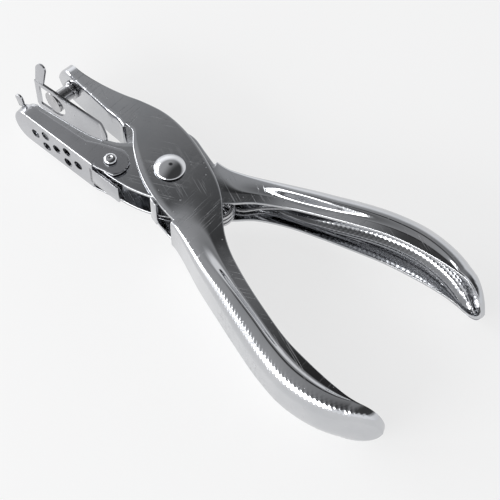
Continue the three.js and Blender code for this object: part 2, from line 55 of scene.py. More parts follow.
ARM_SHEET = 0.9
THIN_SHEET = 0.6
FIT = 0.3
UPPER_HALF = 5.3
HANDLE_HALF = 7.3
LOWER_HALF = UPPER_HALF - ARM_SHEET - FIT
LOWER_INNER = LOWER_HALF - ARM_SHEET
TRAY_HALF = LOWER_HALF + FIT + THIN_SHEET
MID = HANDLE_HALF
HANDLE_REACH = 80
PUNCH_REACH = 37.6
DIE_LEVEL = -2.5
JAW_OPEN = math.radians(12)
JAW_CLOSE = math.radians(8.2)
JAW_FOOT = (-17.3, 3.9)
PUNCH_LENGTH = 6.4
STRIPPER_HALF = 5
STRIPPER_TILT = math.radians(3.4)
STRIPPER_TOP = 2.45
STRIPPER_LEAD = 5.78
RAIL = 1.4
TRAY_RIVET = (-13.4, -6.3)
TRAY_SLOPE = -0.105
TRAY_BOTTOM = -7.78
VENT_DIAMETER = 2.6
VENT_PITCH = 3.7
VENT_FROM_DIE = 2.52
TRAY_FLOOR_END = -16.4
WIRE = 1.1

# ---- Sizes of the finer forms, in millimetres

DIE_HOLE = 6.7
PIVOT_HEAD = 3.9
PIVOT_SHANK = 2.5
PIVOT_DOME = 1.62
SPACER_BORE = 2.8
SPACER_RADIUS = 3.8
PUNCH_RADIUS = 3
PUNCH_NECK = 2
PUNCH_COLLAR = 2.5
PUNCH_TENON = 1.5
TRAY_SHANK = 1
TRAY_RIVET_HOLE = 2.6
TRAY_LOBE = 4.3
TRAY_FOLD = 0.5
TONGUE_END = -7.7
VENT_ACROSS = 2.1
VENT_PLACES = ((0, 0), (1, 1), (1, -1), (2, 0), (3, 1), (3, -1), (4, 0))
LUG_RADIUS = 2.4
STRIPPER_REAR = -23.4
STRIPPER_CORNER = 1.3
COIL_CENTRE = (14.6, -0.2)
COIL_RADIUS = 3.5
COIL_TURNS = 3.25
THIN_EDGE = 0.09


def on_jaw(x, height=0):
    """A point on the upper jaw's web, or that far above it."""
    distance = (JAW_FOOT[0] - x) / math.cos(JAW_OPEN)
    return (JAW_FOOT[0] - math.cos(JAW_OPEN) * distance + math.sin(JAW_OPEN) * height,
            JAW_FOOT[1] + math.sin(JAW_OPEN) * distance + math.cos(JAW_OPEN) * height)


def turned(point, angle):
    """A point turned about the pivot axis."""
    c, s = math.cos(angle), math.sin(angle)
    return point[0] * c - point[1] * s, point[0] * s + point[1] * c


NOSE_X = -PUNCH_REACH - UPPER_HALF
CLOSED_FOOT = turned(on_jaw(-PUNCH_REACH), JAW_CLOSE)
DIE_X = CLOSED_FOOT[0] - (CLOSED_FOOT[1] - DIE_LEVEL) * math.tan(JAW_OPEN - JAW_CLOSE)
STRIPPER_FRONT = DIE_X - STRIPPER_LEAD


# ---- Shader nodes

class Wire:
    """A shader socket that takes part in Python arithmetic."""

    def __init__(self, look, socket):
        self.look = look
        self.socket = socket

    def _math(self, operation, *values):
        return self.look.node("ShaderNodeMath", {"operation": operation}, dict(enumerate(values)))

    def __add__(self, other):
        return self._math("ADD", self, other)

    def __sub__(self, other):
        return self._math("SUBTRACT", self, other)

    def __mul__(self, other):
        return self._math("MULTIPLY", self, other)

    def __rsub__(self, other):
        return self._math("SUBTRACT", other, self)

    __radd__ = __add__
    __rmul__ = __mul__


class Look:
    """One node tree, filled by calls to node()."""

    def __init__(self, tree):
        self.tree = tree
        self.tree.nodes.clear()

    def node(self, kind, settings=None, sockets=None, out=0):
        made = self.tree.nodes.new(kind)
        for name, value in (settings or {}).items():
            setattr(made, name, value)
        for name, value in (sockets or {}).items():
            if isinstance(value, Wire):
                self.tree.links.new(value.socket, made.inputs[name])
            else:
                made.inputs[name].default_value = value
        return Wire(self, made.outputs[out]) if made.outputs else None

    def step(self, value, low, high):
        return self.node("ShaderNodeMapRange", {"interpolation_type": "SMOOTHSTEP"},
                         {"Value": value, "From Min": low, "From Max": high})

    def place(self, turn=(0, 0, 0), scale=(1, 1, 1)):
        where = self.node("ShaderNodeTexCoord", out="Object")
        turned_where = self.node("ShaderNodeMapping", None, {"Vector": where, "Rotation": turn})
        return self.node("ShaderNodeMapping", None, {"Vector": turned_where, "Scale": scale})

    def noise(self, scale, detail=2.0, turn=(0, 0, 0), stretch=(1, 1, 1), rough=0.5):
        return self.node("ShaderNodeTexNoise", None,
                         {"Vector": self.place(turn, stretch), "Scale": scale, "Detail": detail,
                          "Roughness": rough})

    def tint(self, share, low, high):
        return self.node("ShaderNodeMix", {"data_type": "RGBA"},
                         {"Factor": share, 6: (*low, 1), 7: (*high, 1)}, out=2)

    def axes(self, vector):
        """The X, Y and Z of a vector."""
        first = self.node("ShaderNodeSeparateXYZ", None, {"Vector": vector})
        return [Wire(self, socket) for socket in first.socket.node.outputs]


def material(name):
    made = bpy.data.materials.new(name)
    made.use_nodes = True
    return made, Look(made.node_tree)


def scratches(look, count, strength):
    """Fine handling scratches in a few directions, as a mask from 0 to 1."""
    total = 0
    for i in range(count):
        angle = 0.5 + i * 1.15
        streak = look.noise(170, 1.0, (0, 0, angle), (0.55, 26, 0.4))
        patch = look.step(look.noise(70, 2.0, (0.3 * i, 0, 1 + i)), 0.47, 0.64)
        total = look.step(streak, 0.65, 0.72) * patch * strength + total
    return total


def plated(name, dark, light, rough, scratch=0.5, smudge=0.1, ripple=0.02):
    """Bright plating on steel: slight tint changes, smudges, hairline scratches, pits and a soft ripple."""
    made, look = material(name)
    cloud = look.noise(55, 4.0, rough=0.6)
    grime = look.step(look.noise(210, 5.0, (0.4, 0.2, 0.9), rough=0.7), 0.5, 0.75)
    lines = scratches(look, 3, scratch)
    pits = look.step(look.noise(900), 0.70, 0.78)
    orange_peel = look.noise(420)
    height = orange_peel * ripple - lines * 0.5 - pits * 0.3
    bump = look.node("ShaderNodeBump", None, {"Height": height, "Strength": 0.3, "Distance": 0.0001})
    shader = look.node("ShaderNodeBsdfPrincipled", None, {
        "Base Color": look.tint(look.step(cloud, 0.3, 0.7), dark, light),
        "Metallic": 1.0,
        "Roughness": look.step(cloud, 0.35, 0.8) * 0.05 + grime * smudge + lines * 0.4 + pits * 0.4 + rough,
        "Normal": bump})
    look.node("ShaderNodeOutputMaterial", None, {"Surface": shader})
    return made


def turned_steel(name, dark, light, rough, rings):
    """Machined steel: fine bands along Y and a worn, uneven sheen."""
    made, look = material(name)
    where = look.place()
    lathe = look.node("ShaderNodeTexWave", {"wave_type": "BANDS", "bands_direction": "Y"},
                      {"Vector": where, "Scale": rings, "Distortion": 0.4, "Detail": 2.0})
    wear = look.noise(300, 4.0, rough=0.65)
    bump = look.node("ShaderNodeBump", None, {"Height": lathe * 0.5 + wear * 0.4, "Strength": 0.2,
                                              "Distance": 0.0001})
    shader = look.node("ShaderNodeBsdfPrincipled", None, {
        "Base Color": look.tint(wear, dark, light),
        "Metallic": 1.0,
        "Roughness": look.step(wear, 0.3, 0.7) * 0.12 + rough,
        "Normal": bump})
    look.node("ShaderNodeOutputMaterial", None, {"Surface": shader})
    return made


ARM_CHROME = plated("arm plating", (0.53, 0.54, 0.56), (0.61, 0.615, 0.63), 0.05)
SHEET_CHROME = plated("thin sheet plating", (0.48, 0.485, 0.505), (0.55, 0.555, 0.575), 0.13, 0.3, 0.1, 0.04)
RIVET_CHROME = plated("rivet plating", (0.62, 0.63, 0.65), (0.71, 0.71, 0.72), 0.05, 0.35, 0.06)
TOOL_STEEL = turned_steel("ground tool steel", (0.42, 0.42, 0.43), (0.56, 0.56, 0.57), 0.16, 900)
WIRE_STEEL = turned_steel("drawn spring wire", (0.52, 0.52, 0.53), (0.64, 0.64, 0.65), 0.17, 240)


# ---- Mesh helpers

def piece(name, vertices, faces, finish, smooth=35):
    """A mesh object in metres from points in millimetres."""
    mesh = bpy.data.meshes.new(name)
    mesh.from_pydata([tuple(c * MM for c in v) for v in vertices], [], faces)
    made = bpy.data.objects.new(name, mesh)
    SCENE.collection.objects.link(made)
    work = bmesh.new()
    work.from_mesh(mesh)
    bmesh.ops.remove_doubles(work, verts=work.verts, dist=1e-6)
    bmesh.ops.dissolve_degenerate(work, edges=work.edges, dist=1e-7)
    bmesh.ops.recalc_face_normals(work, faces=work.faces)
    work.to_mesh(mesh)
    work.free()
    if finish:
        mesh.materials.append(finish)
    mesh.shade_smooth()
    if smooth:
        mesh.set_sharp_from_angle(angle=math.radians(smooth))
    return made


def settle(target):
    """Turns a piece's modifiers into plain mesh."""
    graph = bpy.context.evaluated_depsgraph_get()
    mesh = bpy.data.meshes.new_from_object(target.evaluated_get(graph))
    target.modifiers.clear()
    target.data = mesh
    return target


def boolean(target, tool, operation):
    work = target.modifiers.new(operation, "BOOLEAN")
    work.operation = operation
    work.solver = "EXACT"
    work.object = tool
    settle(target)
    bpy.data.objects.remove(tool)
    return target


def cut(target, tool):
    return boolean(target, tool, "DIFFERENCE")


def join(target, tool):
    return boolean(target, tool, "UNION")


def soften(target, width, angle=40, segments=3, clamp=False):
    """Rounds a piece's sharp edges by a width in millimetres."""
    bevel = target.modifiers.new("bevel", "BEVEL")
    bevel.width = width * MM
    bevel.segments = segments
    bevel.limit_method = "ANGLE"
    bevel.angle_limit = math.radians(angle)
    bevel.use_clamp_overlap = clamp
    settle(target)
    target.data.shade_smooth()
    target.data.set_sharp_from_angle(angle=math.radians(50))
    return target


def arc(x, y, radius, start, end, steps):
    """Points of an arc; the angles are in degrees."""
    angles = np.radians(np.linspace(start, end, steps + 1))
    return [(x + radius * math.cos(a), y + radius * math.sin(a)) for a in angles]


def prism(name, outline, low, high, finish=None, plane="XY"):
    """An outline thickened between two levels, in the XY or the XZ plane."""
    count = len(outline)
    if plane == "XY":
        vertices = [(x, y, level) for level in (low, high) for x, y in outline]
    else:
        vertices = [(x, level, z) for level in (low, high) for x, z in outline]
    faces = [list(range(count)), list(range(count, 2 * count))]
    for i in range(count):
        j = (i + 1) % count
        faces.append((i, j, j + count, i + count))
    return piece(name, vertices, faces, finish)


def spin(name, profile, centre, axis, finish, sides=64, smooth=35):
    """A profile of (radius, height) turned about an axis through a centre."""
    axis = Vector(axis).normalized()
    side = axis.orthogonal().normalized()
    other = axis.cross(side)
    vertices = []
    faces = []
    for k in range(sides):
        angle = 2 * math.pi * k / sides
        spoke = side * math.cos(angle) + other * math.sin(angle)
        for radius, height in profile:
            vertices.append(Vector(centre) + spoke * radius + axis * height)
    count = len(profile)
    for k in range(sides):
        for i in range(count - 1):
            a = k * count + i
            b = (k + 1) % sides * count + i
            faces.append((a, b, b + 1, a + 1))
    return piece(name, vertices, faces, finish, smooth)


def drill(target, centre, axis, diameter, low, high, sides=40):
    """Cuts a round hole about an axis, between two distances along it from a centre."""
    radius = diameter / 2
    profile = [(0, low), (radius, low), (radius, high), (0, high)]
    return cut(target, spin("drill", profile, centre, axis, None, sides))


# ---- The two arms

def spline(points, t):
    """A point on the smooth curve through evenly weighted points."""
    place = (len(points) - 1) * min(max(t, 0), 1)
    i = min(int(place), len(points) - 2)
    w = place - i
    p0, p1 = points[max(i - 1, 0)], points[i]
    p2, p3 = points[i + 1], points[min(i + 2, len(points) - 1)]
    v0, v1 = (p2 - p0) * 0.5, (p3 - p1) * 0.5
    return (2 * p1 - 2 * p2 + v0 + v1) * w ** 3 + (3 * p2 - 3 * p1 - 2 * v0 - v1) * w ** 2 + v0 * w + p1


def ramp(x, low, high):
    t = min(max((x - low) / (high - low), 0), 1)
    return t * t * (3 - 2 * t)


def mix(a, b, t):
    return a + (b - a) * t


def crossing(start, end, outline):
    """How far along start to end, from 0 to 1, the outline is first met, or None."""
    best = None
    reach = end - start
    for a, b in zip(outline, outline[1:]):
        side = b - a
        cross = reach[0] * side[1] - reach[1] * side[0]
        if abs(cross) < 1e-9:
            continue
        gap = a - start
        t = (gap[0] * side[1] - gap[1] * side[0]) / cross
        s = (gap[0] * reach[1] - gap[1] * reach[0]) / cross
        if -0.001 <= s <= 1.001 and 0 < t and (best is None or t < best):
            best = t
    return best


class Arm:
    """A sheet channel that follows a free edge and a web, with a rounded nose and tip."""

    PLATE_STEPS = 9
    SLOPE_STEPS = 5
    CORNER_STEPS = 20
    WEB_STEPS = 20
    PLATE_POINTS = PLATE_STEPS + SLOPE_STEPS + 1
    ALL_POINTS = PLATE_POINTS + CORNER_STEPS + WEB_STEPS // 2
    SPACING = 0.55
    GRIP_SPACING = 0.26
    DOT_PITCH = 1.2
    DOT_RADIUS = 0.42
    FAR = 40

    def __init__(self, rows, half, flare, tip_length, gap, grip):
        self.edge = [np.array(row[0], float) for row in rows]
        self.web = [np.array(row[1], float) for row in rows]
        self.half = half
        self.flare = flare
        self.tip_length = tip_length
        self.gap = gap
        self.grip_start, self.grip_depth = grip
        fine = np.linspace(0, 1, 4001)
        track = np.array([spline(self.web, u) for u in fine])
        self.fine = fine
        self.track = track
        self.run = np.concatenate([[0], np.cumsum(np.linalg.norm(np.diff(track, axis=0), axis=1))])

    def at_x(self, x):
        """The curve value at which the web passes an X position."""
        return float(np.interp(x, self.track[:, 0], self.fine))

    def stations(self):
        """Curve values and lengths along the arm, closer together on the grip and at both ends."""
        length = self.run[-1]
        right_angle = math.pi / 2
        nose = [self.half * (1 - math.cos(a)) for a in np.linspace(0, right_angle, 22)[:-1]]
        tip = [length - self.tip_length * (1 - math.cos(a)) for a in np.linspace(0, right_angle, 40)[:-1]]
        middle = []
        s = self.half
        while s < length - self.tip_length:
            middle.append(s)
            x = np.interp(s, self.run, self.track[:, 0])
            s += self.GRIP_SPACING if x > self.grip_start else self.SPACING
        marks = [np.interp(self.at_x(x), self.fine, self.run) for x in self.gap["span"]]
        runs = [float(v) for v in sorted(set(nose + middle + marks + tip))]
        return [(float(np.interp(v, self.run, self.fine)), v) for v in runs]

    def section(self, u):
        """The channel's sizes at a curve value."""
        edge, web = spline(self.edge, u), spline(self.web, u)
        x = web[0]
        from_nose = np.linalg.norm(web - self.web[0])
        from_tip = np.linalg.norm(web - self.web[-1])
        narrow = max(0, 1 - from_nose / self.half, 1 - from_tip / self.tip_length)
        share = math.sqrt(max(1 - narrow * narrow, 0))
        full_web = mix(self.half, HANDLE_HALF, ramp(x, *self.flare))
        full_edge = mix(self.half, HANDLE_HALF - 0.5, ramp(x, self.flare[1] - 16, self.flare[1] + 26))
        depth = np.linalg.norm(web - edge)
        web_half = full_web * share
        edge_half = min(full_edge, full_web) * share
        corner = mix(1, 4.4, ramp(x, self.flare[0], self.flare[1] + 10))
        radius = min(corner, web_half * 0.92, depth * 0.92)
        shoulder = depth - radius
        crease = min(depth * 0.35, shoulder * 0.6)
        return edge, (web - edge) / depth, edge_half, web_half, radius, shoulder, crease

    def side_points(self, u, inside_gap):
        """The free edge, the way from it to the web, and the points of one side up to the web's middle.

        A point is (depth, half width, outward in depth, outward in width).
        """
        edge, reach, edge_half, web_half, radius, shoulder, crease = self.section(u)
        end = shoulder
        if inside_gap:
            met = crossing(edge, edge + reach * self.FAR, self.gap["outline"])
            end = met * self.FAR if met else shoulder
        side = self.plate_points(edge_half, web_half, shoulder, crease, end)
        if not inside_gap:
            side += self.web_points(web_half, radius, shoulder)
        return edge, reach, side

    def plate_points(self, edge_half, web_half, shoulder, crease, end):
        """The flat plate as far as the crease, then its slope out to the shoulder."""
        bend = min(crease, end)
        side = [(bend * i / self.PLATE_STEPS, edge_half, 0, 1) for i in range(self.PLATE_STEPS)]
        for i in range(self.SLOPE_STEPS + 1):
            depth = mix(bend, end, i / self.SLOPE_STEPS)
            rise = ramp((depth - crease) / max(shoulder - crease, 1e-6), 0, 1)
            side.append((depth, mix(edge_half, web_half, rise), 0, 1))
        return side

    def web_points(self, web_half, radius, shoulder):
        """The rounded corner, then the web's flat to its middle."""
        side = []
        for i in range(1, self.CORNER_STEPS + 1):
            a = i / self.CORNER_STEPS * math.pi / 2
            out_d, out_z = math.sin(a), math.cos(a)
            side.append((shoulder + radius * out_d, web_half - radius * (1 - out_z), out_d, out_z))
        flat = web_half - radius
        for i in range(1, self.WEB_STEPS // 2 + 1):
            side.append((shoulder + radius, flat * (1 - 2 * i / self.WEB_STEPS), 1, 0))
        return side

    def around(self, side, j):
        """Distance over the surface from the web's middle to a point of the side."""
        half_width, out_d, out_z = side[j][1:]
        if out_d == 1:
            return abs(half_width)
        shoulder, web_half = side[self.PLATE_POINTS - 1][:2]
        radius = side[-1][0] - shoulder
        return max(web_half - radius, 0) + radius * (math.pi / 2 - math.atan2(out_d, out_z))

    def grip_level(self, run, across, x):
        """Level of the grip: 0 on top of a dot, and below 0 between the staggered dots."""
        fade = ramp(x, self.grip_start, self.grip_start + 10)
        fade *= 1 - ramp(run, self.run[-1] - 6, self.run[-1] - 3)
        fade *= 1 - ramp(abs(across), 7.2, 8.4)
        if fade <= 0:
            return 0
        row_pitch = self.DOT_PITCH * 0.5
        near = round(run / row_pitch)
        height = 0
        for row in (near - 1, near, near + 1):
            shift = 0.5 if row % 2 else 0
            column = round(across / self.DOT_PITCH - shift) + shift
            away = math.hypot(run - row * row_pitch, across - column * self.DOT_PITCH)
            height = max(height, 1 - (away / self.DOT_RADIUS) ** 2)
        return (height - 1) * self.grip_depth * fade

    def cross_section(self, u, run, inside_gap, vertices):
        """Adds one cross-section's points and returns their numbers by side and place."""
        edge, reach, side = self.side_points(u, inside_gap)
        x = spline(self.web, u)[0]
        line = {}
        for sign in (1, -1):
            for j, (depth, half_width, out_d, out_z) in enumerate(side):
                if sign < 0 and j == self.ALL_POINTS - 1:
                    line[sign, j] = line[1, j]
                    continue
                on_web = j >= self.PLATE_POINTS
                level = self.grip_level(run, self.around(side, j) * sign, x) if on_web else 0
                p = edge + reach * (depth + level * out_d)
                line[sign, j] = len(vertices)
                vertices.append((p[0], p[1], MID + sign * (half_width + level * out_z)))
        return line

    def faces_between(self, lines):
        """Faces between neighbouring cross-sections, given as (numbers, whether inside the gap)."""
        faces = []
        for (a, a_inside), (b, b_inside) in zip(lines, lines[1:]):
            count = self.PLATE_POINTS if a_inside or b_inside else self.ALL_POINTS
            for sign in (1, -1):
                for j in range(count - 1):
                    quad = [a[sign, j], a[sign, j + 1], b[sign, j + 1], b[sign, j]]
                    faces.append(quad if sign > 0 else quad[::-1])
        return faces

    def build(self, name, finish):
        low, high = [self.at_x(x) for x in self.gap["span"]]
        vertices, lines = [], []
        for u, run in self.stations():
            inside = low + 1e-6 < u < high - 1e-6
            lines.append((self.cross_section(u, run, inside, vertices), inside))
        return piece(name, vertices, self.faces_between(lines), finish, None)


# ---- Sheet thickness

def turn_outwards(work, reference):
    """Turns the faces over if the one nearest a reference point, in millimetres, faces away from +Z."""
    centre = Vector(reference) * MM
    work.normal_update()
    nearest = min(work.faces, key=lambda f: (f.calc_center_median() - centre).length)
    if nearest.normal.z < 0:
        bmesh.ops.reverse_faces(work, faces=work.faces)
        work.normal_update()


def rim_ways(rims, normals):
    """For each point of the rim, the direction out of the surface."""
    ways = {}
    for first, second in rims:
        for v in (first, second):
            away = (second.co - first.co).cross(normals[v])
            ways[v] = ways.get(v, Vector()) + away.normalized()
    return {v: way.normalized() for v, way in ways.items()}


def rim_steps(thickness, radius):
    """Steps (inset, depth) round a cut edge, from the outer to the inner side."""
    profile = [(1 - math.sin(a), 1 - math.cos(a)) for a in np.linspace(0, math.pi / 2, 4)]
    steps = [(back * radius, down * radius) for back, down in profile]
    return steps + [(back * radius, thickness - down * radius) for back, down in profile[::-1]]


def rim_ladder(work, outer, inner, way, normal, steps):
    """Points across the cut edge at one point of the rim; the outer and the inner one move inwards."""
    corner = outer.co.copy()
    outer.co = corner - way * steps[0][0]
    ladder = [outer]
    for back, down in steps[1:-1]:
        ladder.append(work.verts.new(corner - way * back - normal * down))
    inner.co = corner - way * steps[-1][0] - normal * steps[-1][1]
    return ladder + [inner]


def shell(target, thickness, reference, edge=0.16):
    """Gives a thin surface its sheet thickness, inwards from the outer side, with rounded cut edges."""
    work = bmesh.new()
    work.from_mesh(target.data)
    turn_outwards(work, reference)
    depth = thickness * MM
    steps = rim_steps(depth, edge * MM)
    outer_faces = list(work.faces)
    normals = {v: v.normal.copy() for v in work.verts}
    loops = [e.link_loops[0] for e in work.edges if e.is_boundary]
    rims = [(loop.vert, loop.link_loop_next.vert) for loop in loops]
    ways = rim_ways(rims, normals)
    inner = {}
    for v, normal in normals.items():
        inner[v] = work.verts.new(v.co - normal * depth)
    ladders = {}
    for v, way in ways.items():
        ladders[v] = rim_ladder(work, v, inner[v], way, normals[v], steps)
    for face in outer_faces:
        work.faces.new([inner[v] for v in reversed(face.verts)])
    for first, second in rims:
        a, b = ladders[first], ladders[second]
        for k in range(len(steps) - 1):
            work.faces.new((b[k], a[k], a[k + 1], b[k + 1]))
    bmesh.ops.dissolve_degenerate(work, edges=work.edges, dist=1e-7)
    work.to_mesh(target.data)
    work.free()
    target.data.shade_smooth()
    target.data.set_sharp_from_angle(angle=math.radians(50))
    return target


# ---- The arms' lines: rows of (free edge, web), from nose to tip

def upper_rows():
    return [
        (on_jaw(NOSE_X, 3.6), on_jaw(NOSE_X)),
        (on_jaw(NOSE_X + UPPER_HALF, 3.0), on_jaw(NOSE_X + UPPER_HALF)),
        ((-30, 10.9), on_jaw(-30.6)),
        ((-23.5, 11.5), on_jaw(-24.4)),
        ((-17.8, 12.5), on_jaw(-18.8)),
        ((-11.6, 12.9), (-13.4, 0.6)),
        ((-5.6, 11.9), (-9.6, -4.0)),
        ((0.2, 9.9), (-4.4, -8.1)),
        ((6, 7.0), (1.2, -10.9)),
        ((11.2, 3.9), (5.6, -12.2)),
        ((15.2, 0.4), (9.8, -12.7)),
        ((18.7, -3.9), (13.4, -14.2)),
        ((22, -7.6), (17.4, -16.4)),
        ((26.6, -11.3), (23, -19.5)),
        ((33.4, -15.3), (30.4, -23.1)),
        ((41.4, -19.3), (38.6, -27.1)),
        ((50, -23.1), (47, -30.8)),
        ((58, -25.4), (55.6, -33.4)),
        ((66, -27.0), (64, -33.8)),
        ((72.6, -27.6), (71.6, -32.1)),
        ((HANDLE_REACH - 0.4, -26.3), (HANDLE_REACH, -27.8)),
    ]


def lower_rows():
    nose = DIE_X - LOWER_HALF
    return [
        ((nose, -5.9), (nose, DIE_LEVEL)),
        ((nose + LOWER_HALF, -6.5), (nose + LOWER_HALF, DIE_LEVEL)),
        ((-31.5, -7.2), (-31.5, DIE_LEVEL)),
        ((-26, -7.8), (-26, DIE_LEVEL)),
        ((-21, -8.4), (-22, -2.25)),
        ((-16, -9.1), (-18, -1.1)),
        ((-10.6, -9.8), (-14.6, 1.6)),
        ((-4.8, -9.7), (-10.6, 6.6)),
        ((0.6, -8.7), (-5.6, 11.9)),
        ((5.4, -6.9), (0.6, 12.0)),
        ((10.4, -3.9), (6, 9.7)),
        ((14.8, -1.1), (10.4, 9.1)),
        ((18, 1.2), (14.4, 9.7)),
        ((22.6, 4.6), (19.8, 11.1)),
        ((30, 7.7), (28.4, 13.9)),
        ((38, 10.0), (36.4, 16.9)),
        ((46, 12.0), (44.4, 19.7)),
        ((54, 13.7), (52.6, 21.6)),
        ((62, 14.4), (61, 22.2)),
        ((69.4, 14.4), (69.6, 20.7)),
        ((75.4, 13.7), (76.6, 17.4)),
        ((HANDLE_REACH + 1.9, 11.2), (HANDLE_REACH + 2.5, 11.9)),
    ]


def smooth_line(points, steps=10):
    points = [np.array(p, float) for p in points]
    return [spline(points, i / (steps * (len(points) - 1))) for i in range(steps * (len(points) - 1) + 1)]


UPPER_GAP = {"span": (JAW_FOOT[0], 9.4), "outline": smooth_line([
    (JAW_FOOT[0] - 0.6, JAW_FOOT[1] + 0.5), (-16.5, 4.4), (-14.6, 3.9), (-13.1, 2.2), (-11.6, 0.3),
    (-8.2, -2.9), (-4.5, -5.7), (-1.1, -7.7), (2.6, -9.4), (6.5, -10.7), (9.4, -11.5), (11, -12)])}
LOWER_GAP = {"span": (-19.4, 7.4), "outline": smooth_line([
    (-21, -2.3), (-19, -1.6), (-17.6, -1.2), (-16, -0.6), (-13.6, 0.9), (-11.2, 3.6), (-8.6, 8.4), (-5, 11.4),
    (-1.2, 11.6), (3.2, 9.8), (7.4, 8.0), (9, 7.6)])}


def make_upper_arm():
    arm = Arm(upper_rows(), UPPER_HALF, (5, 34), 8.2, UPPER_GAP, (24, 0.1))
    return shell(arm.build("upper_arm_sheet", ARM_CHROME), ARM_SHEET, (0, 6, MID + UPPER_HALF), 0.22)


def make_stop():
    """A small tab inside the upper arm that holds the jaws open."""
    stop = prism("stop", [(1.5, -8.9), (3.9, -9.9), (3.6, -10.8), (1.2, -9.8)],
                 MID - 3.4, MID + UPPER_HALF - 0.1, ARM_CHROME)
    return soften(stop, 0.25)


def make_lower_arm():
    arm = Arm(lower_rows(), LOWER_HALF, (6, 34), 8.6, LOWER_GAP, (30, 0.06))
    made = shell(arm.build("lower_arm_sheet", ARM_CHROME), ARM_SHEET, (-5, -7, MID + LOWER_HALF), 0.22)
    return drill(made, (DIE_X, DIE_LEVEL, MID), (0, 1, 0), DIE_HOLE, -3, 3, 64)


# ---- Turned pieces

def dome(radius, height, base, steps=16):
    """Profile points of a round cap, from its rim to the axis."""
    ball = (radius * radius + height * height) / (2 * height)
    angles = np.linspace(math.asin(radius / ball), 0, steps + 1)
    return [(ball * math.sin(a), base + height - ball * (1 - math.cos(a))) for a in angles]


def make_pivot_rivet():
    under = MID - UPPER_HALF - FIT
    over = MID + UPPER_HALF + FIT
    profile = [(0, 0), (3.4, 0), (3.62, 0.05), (3.82, 0.2), (PIVOT_HEAD, 0.4), (PIVOT_HEAD, under - 0.1),
               (3.8, under), (PIVOT_SHANK, under), (PIVOT_SHANK, over), (3.8, over), (3.89, over + 0.08),
               (PIVOT_HEAD, over + 0.2)]
    profile += dome(PIVOT_HEAD - 0.04, PIVOT_DOME, over + 0.28)
    return spin("pivot_rivet_turned", profile, (0, 0, 0), (0, 0, 1), RIVET_CHROME, 96)


def make_pivot_spacer():
    half = LOWER_INNER - FIT
    profile = [(SPACER_BORE, -half), (3.7, -half), (SPACER_RADIUS, 0.1 - half), (SPACER_RADIUS, half - 0.1),
               (3.7, half), (SPACER_BORE, half), (SPACER_BORE, -half)]
    return spin("pivot_spacer_turned", profile, (0, 0, MID), (0, 0, 1), TOOL_STEEL, 64)


def make_punch_pin():
    foot = on_jaw(-PUNCH_REACH)
    inside = ARM_SHEET + FIT
    tip = -PUNCH_LENGTH
    profile = [(0, tip + 0.25), (1.6, tip + 0.18), (2.6, tip), (2.95, tip + 0.02), (PUNCH_RADIUS, tip + 0.1),
               (PUNCH_RADIUS, tip + 1.4), (2.92, tip + 1.5), (2.2, tip + 1.95), (PUNCH_NECK, tip + 2.2),
               (PUNCH_NECK, -1.15), (2.15, -0.95), (2.45, -0.9), (PUNCH_COLLAR, -0.8), (PUNCH_COLLAR, -FIT),
               (PUNCH_TENON, -FIT), (PUNCH_TENON, inside), (2.3, inside), (2.4, inside + 0.1),
               (2.25, inside + 0.5), (1.7, inside + 0.75), (0.8, inside + 0.87), (0, inside + 0.89)]
    axis = (math.sin(JAW_OPEN), math.cos(JAW_OPEN), 0)
    return spin("punch_pin_turned", profile, (foot[0], foot[1], MID), axis, TOOL_STEEL, 80)


def make_tray_rivet(name, side):
    seat = TRAY_HALF + FIT
    inside = LOWER_INNER - FIT - THIN_SHEET - FIT
    profile = [(0, inside - 0.48), (1.2, inside - 0.45), (1.48, inside - 0.3), (1.5, inside),
               (TRAY_SHANK, inside), (TRAY_SHANK, seat), (1.6, seat), (1.65, seat + 0.08),
               (1.64, seat + 0.32), (1.52, seat + 0.56), (1.3, seat + 0.76), (1.0, seat + 0.9),
               (0.74, seat + 0.945), (0.6, seat + 0.93), (0.5, seat + 0.82), (0.38, seat + 0.6),
               (0.2, seat + 0.52), (0, seat + 0.5)]
    return spin(name, profile, (*TRAY_RIVET, MID), (0, 0, side), RIVET_CHROME, 64, 50)


# ---- Spring

def inside_web(row, z):
    """A place for the spring's leg, clear of a web's inner side."""
    edge, web = np.array(row[0], float), np.array(row[1], float)
    place_at = web + (edge - web) / np.linalg.norm(edge - web) * (ARM_SHEET + FIT + WIRE / 2)
    return place_at[0], place_at[1], z


def spring_points():
    """The wire's middle: a leg along the upper arm's web, the coil, and a leg along the lower arm's."""
    height = 2 * (LOWER_INNER - FIT) - WIRE
    top = MID + height / 2
    low = top - height
    uppers, lowers = upper_rows(), lower_rows()
    points = [inside_web(uppers[i], top) for i in (14, 13, 12)] + [(14.2, -10.6, top), (11.6, -5.4, top)]
    steps = round(COIL_TURNS * 24)
    for i in range(steps + 1):
        angle = math.pi - i / 24 * 2 * math.pi
        points.append((COIL_CENTRE[0] + COIL_RADIUS * math.cos(angle),
                       COIL_CENTRE[1] + COIL_RADIUS * math.sin(angle), top - i / steps * height))
    points += [(18.4, 4.3, low), (22.6, 8.1, low), inside_web(lowers[14], low), inside_web(lowers[15], low)]
    return [np.array(p, float) for p in points]


